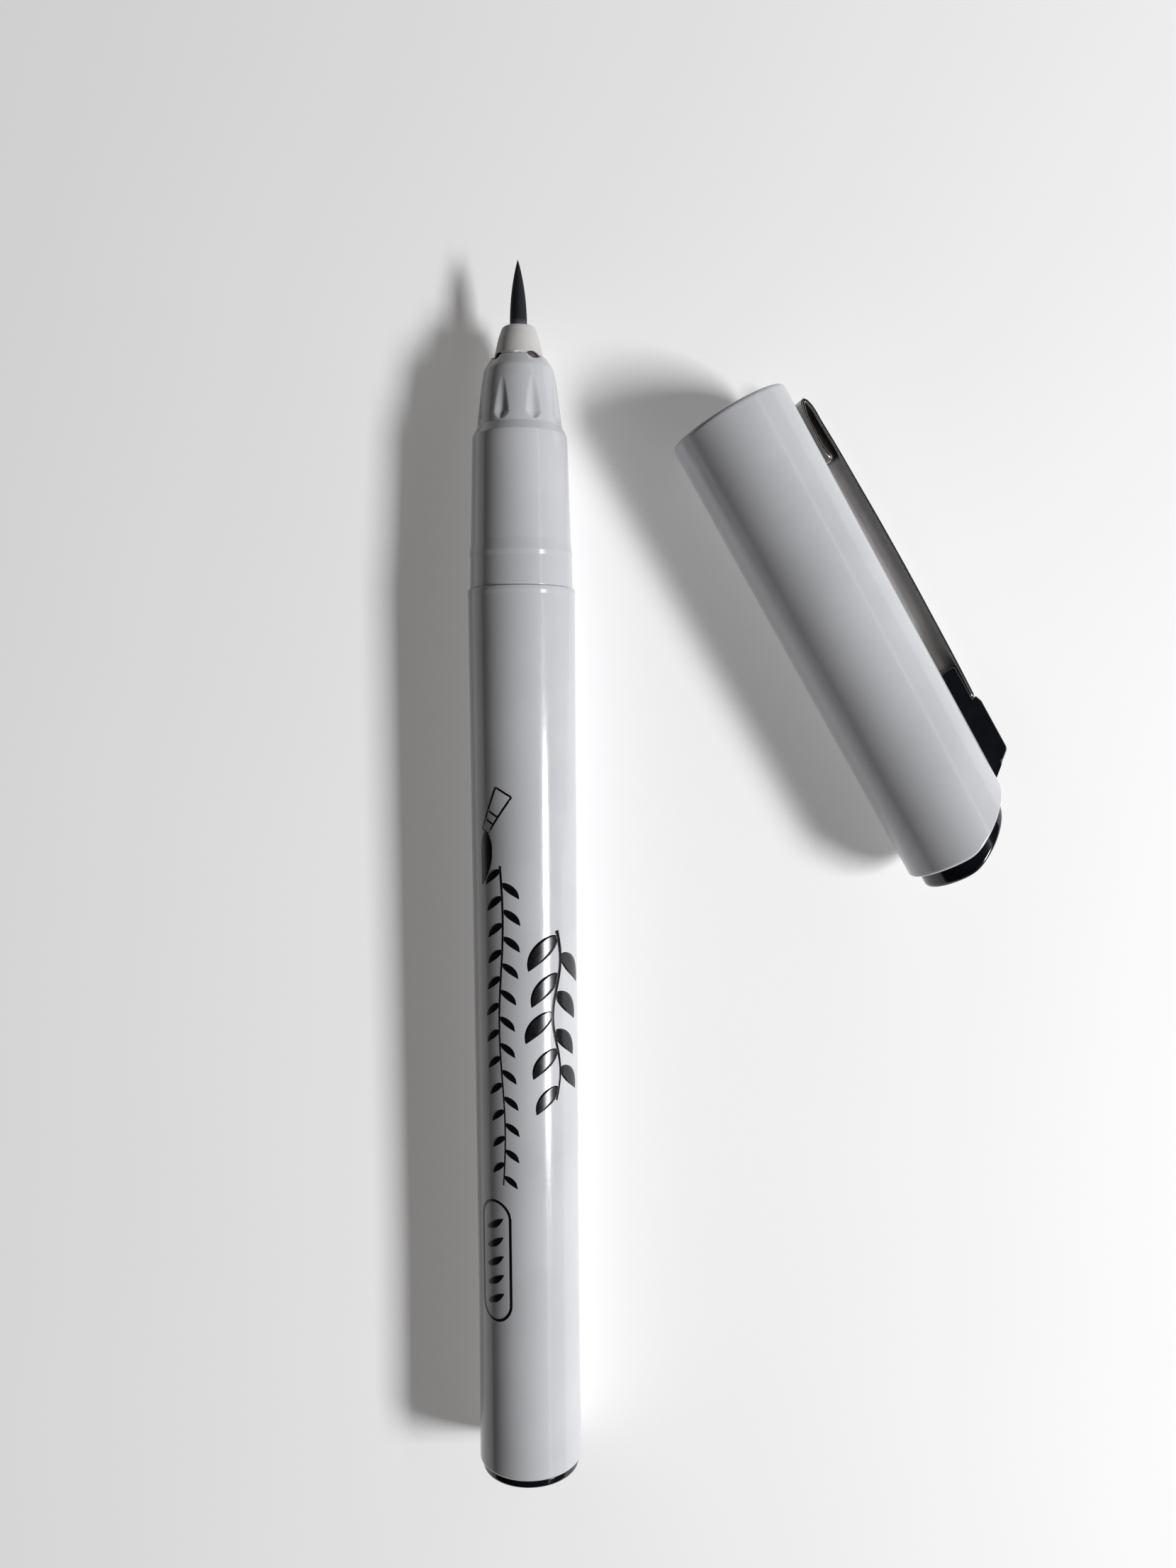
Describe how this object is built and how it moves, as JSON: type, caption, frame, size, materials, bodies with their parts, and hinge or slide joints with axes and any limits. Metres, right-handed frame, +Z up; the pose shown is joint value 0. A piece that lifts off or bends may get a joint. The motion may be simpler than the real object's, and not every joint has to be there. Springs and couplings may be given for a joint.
{
  "type": "calligraphy marker",
  "caption": "Brush-tip calligraphy marker lying uncapped: white tapered barrel, dimpled grip cone and black flexible brush nib, with its clipped, bevel-ended cap lying beside it.",
  "frame": {"origin": "on the table, under the middle of the pair's bounding box", "axes": "+Z up from the table; +Y along the cap's axis from its closed end towards its mouth; the pen lies 28.7 degrees clockwise of +Y seen from above, nib forward"},
  "size_m": [0.0814, 0.1078, 0.0122],
  "materials": {
    "white_plastic": "glossy injection-moulded white, slightly cool",
    "nose_plastic": "satin off-white",
    "black_plastic": "high-gloss black",
    "brush_fibre": "porous resin brush, soaked in black ink",
    "ink_fibre": "bundled fibre soaked in ink",
    "wrap_film": "thin clear-white film",
    "seal_plastic": "soft milky plastic",
    "clip_metal": "nickel-plated spring steel"
  },
  "bodies": {
    "pen": {"barrel": "white_plastic", "tail_plug": "black_plastic", "grip_section": "white_plastic", "nib_holder": "nose_plastic", "nib_stem": "brush_fibre", "ink_reservoir": "ink_fibre", "reservoir_film": "wrap_film"},
    "nib": {"brush_tip": "brush_fibre"},
    "cap": {"cap_shell": "white_plastic", "cap_end_plug": "black_plastic", "inner_cap": "seal_plastic", "clip_mount": "black_plastic"},
    "clip": {"clip": "clip_metal"}
  },
  "joints": [
    {"name": "cap_swing", "type": "hinge", "parent": "pen", "child": "cap", "pos_m": [0.02452, 0.04484, 0], "axis": [0, 0, 1], "range_deg": [0, 151.29]},
    {"name": "clip_flex", "type": "hinge", "parent": "cap", "child": "clip", "pos_m": [0.03926, -0.00549, 0.00244], "axis": [-0.4384, 0, -0.8988], "range_deg": [0, 5], "stiffness_Nm_per_rad": 1.35},
    {"name": "nib_bend", "type": "hinge", "parent": "pen", "child": "nib", "pos_m": [0.01829, 0.0484, 0.00532], "axis": [0, 0, 1], "range_deg": [-25, 25], "stiffness_Nm_per_rad": 0.004}
  ]
}
